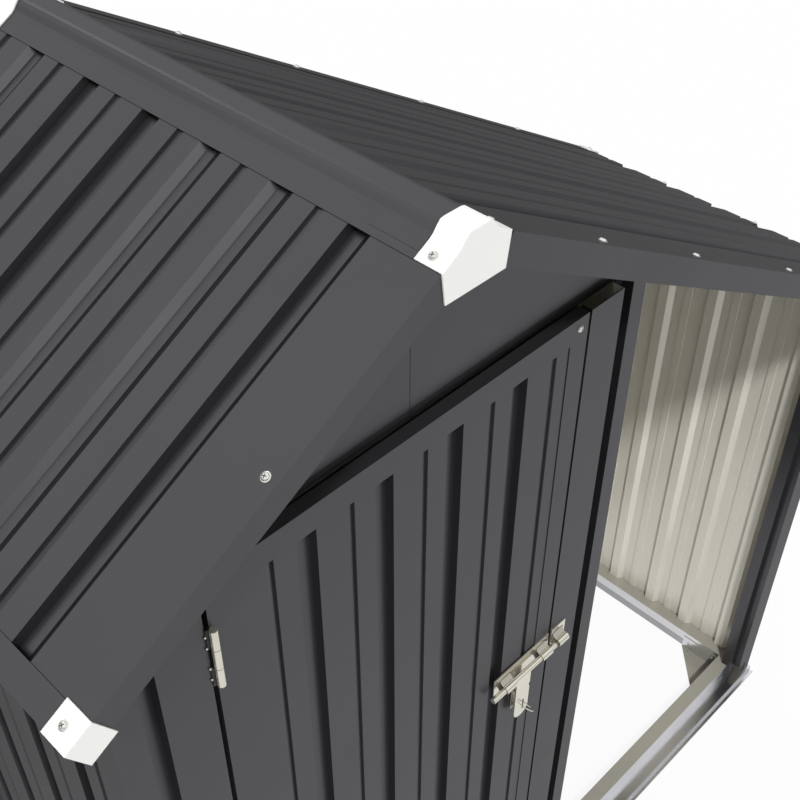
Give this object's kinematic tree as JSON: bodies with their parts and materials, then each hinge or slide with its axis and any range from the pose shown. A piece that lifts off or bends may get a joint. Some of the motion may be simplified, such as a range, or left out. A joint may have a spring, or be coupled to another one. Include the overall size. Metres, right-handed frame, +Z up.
{
  "type": "firewood shed",
  "caption": "Steel shed with a ridged roof: a locker with a hinged door and a slide bolt under the peak, and an open log bay under the longer slope.",
  "frame": {"origin": "bottom centre of the roof's footprint, on the ground", "axes": "X to the right along the front, Y to the back, Z up"},
  "size_m": [1.7808, 0.778, 1.9423],
  "materials": {
    "steel_paint": "satin",
    "cream_paint": "satin",
    "zinc": "satin",
    "nickel": "brushed",
    "white_plastic": "matte"
  },
  "bodies": {
    "shed": {"base_front_rail": "zinc", "base_back_rail": "zinc", "base_left_rail": "zinc", "base_right_rail": "zinc", "base_mid_rail": "zinc", "corner_gussets": "cream_paint", "post_front_left": "steel_paint", "post_front_mid": "steel_paint", "post_front_right": "steel_paint", "post_back_left": "steel_paint", "post_back_mid": "steel_paint", "post_back_right": "steel_paint", "left_wall": "steel_paint", "partition_wall": "steel_paint", "right_wall": "steel_paint", "back_wall_locker": "steel_paint", "back_wall_bay": "steel_paint", "front_panel_left": "steel_paint", "front_panel_right": "steel_paint", "gable_front_left": "steel_paint", "gable_front_right": "steel_paint", "gable_back": "steel_paint", "door_header": "steel_paint", "rafters_front": "steel_paint", "rafters_back": "steel_paint", "roof_left": "steel_paint", "roof_right": "steel_paint", "ridge_cap": "steel_paint", "ridge_end_caps": "white_plastic", "rake_front_left": "steel_paint", "rake_front_right": "steel_paint", "rake_back_left": "steel_paint", "rake_back_right": "steel_paint", "eave_trim_left": "steel_paint", "eave_trim_right": "steel_paint", "eave_corner_caps": "white_plastic", "hinge_frame_leaves": "nickel", "bolt_keeper": "nickel"},
    "door": {"door_panel": "steel_paint", "door_rails": "steel_paint", "door_stiles": "steel_paint", "hinge_door_leaves": "nickel", "bolt_plate": "nickel"},
    "bolt": {"bolt_rod": "nickel"}
  },
  "joints": [
    {"name": "door_hinge", "type": "hinge", "parent": "shed", "child": "door", "pos_m": [-0.685, -0.3175, 0.858], "axis": [0, 0, 1], "range_deg": [-110, 0]},
    {"name": "bolt_slide", "type": "slide", "parent": "door", "child": "bolt", "axis": [1, 0, 0], "range_m": [0, 0.022]}
  ]
}
